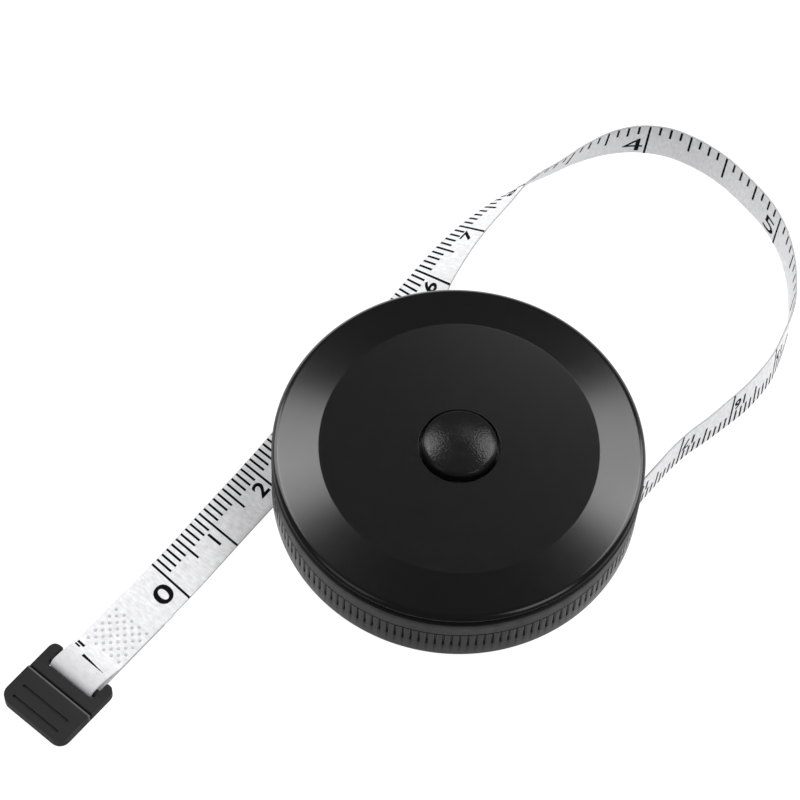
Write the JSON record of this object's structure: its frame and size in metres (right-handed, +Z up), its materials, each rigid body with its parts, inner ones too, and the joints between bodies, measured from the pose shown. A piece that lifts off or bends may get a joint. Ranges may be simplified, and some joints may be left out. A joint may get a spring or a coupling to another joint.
{
  "type": "retractable tape measure",
  "caption": "Round pocket tape measure: a ribbed two-part case holding a sprung spool with a centre release button, its flat tape drawn out in a loop and ending in a pull tab.",
  "frame": {"origin": "centre of the flat back of the case, on the surface that the case lies on", "axes": "+Z up through the release button along the spool's axis; +X to the right and +Y away from the viewer"},
  "size_m": [0.1023, 0.1034, 0.0159],
  "materials": {
    "gloss_black": "smooth gloss",
    "satin_black": "satin moulded",
    "tape_white": "coated woven tape",
    "nylon_grey": "natural moulding",
    "rubber": "matte",
    "spring_steel": "bright rolled",
    "zinc_steel": "zinc plated"
  },
  "bodies": {
    "case": {"rear_case": "satin_black", "front_cover": "gloss_black", "arbor": "zinc_steel", "arbor_screw": "zinc_steel", "thrust_washer": "nylon_grey", "mainspring": "spring_steel", "button_spring": "spring_steel"},
    "spool": {"spool_drum": "nylon_grey", "spool_flange": "nylon_grey", "spring_lid": "nylon_grey", "tape_pack": "tape_white", "tape_anchor_pin": "zinc_steel"},
    "button": {"push_button": "gloss_black", "brake_collar": "nylon_grey", "brake_pad": "rubber"},
    "tape": {"tape_lead": "tape_white", "free_tape": "tape_white", "tape_hem": "tape_white"},
    "tab": {"pull_tab": "satin_black"}
  },
  "joints": [
    {"name": "button_press", "type": "slide", "parent": "case", "child": "button", "axis": [0, 0, -1], "range_m": [0, 0.0012], "stiffness_N_per_m": 600, "springref_m": -0.0008, "deforming": ["button_spring"]},
    {"name": "tape_draw", "type": "slide", "parent": "case", "child": "tape", "axis": [0.5592, 0.829, 0], "range_m": [-0.003, 0.012]},
    {"name": "spool_spin", "type": "hinge", "parent": "case", "child": "spool", "pos_m": [0, 0, 0], "axis": [0, 0, 1], "range_deg": [-530, 3890]},
    {"name": "tab_swing", "type": "hinge", "parent": "tape", "child": "tab", "pos_m": [-0.0481, -0.03402, 0.00105], "axis": [-0.8261, 0.5635, 0], "range_deg": [0, 90]}
  ],
  "couplings": [
    {"joint": "spool_spin", "follows": "tape_draw", "rad_per_m": 47.337}
  ]
}
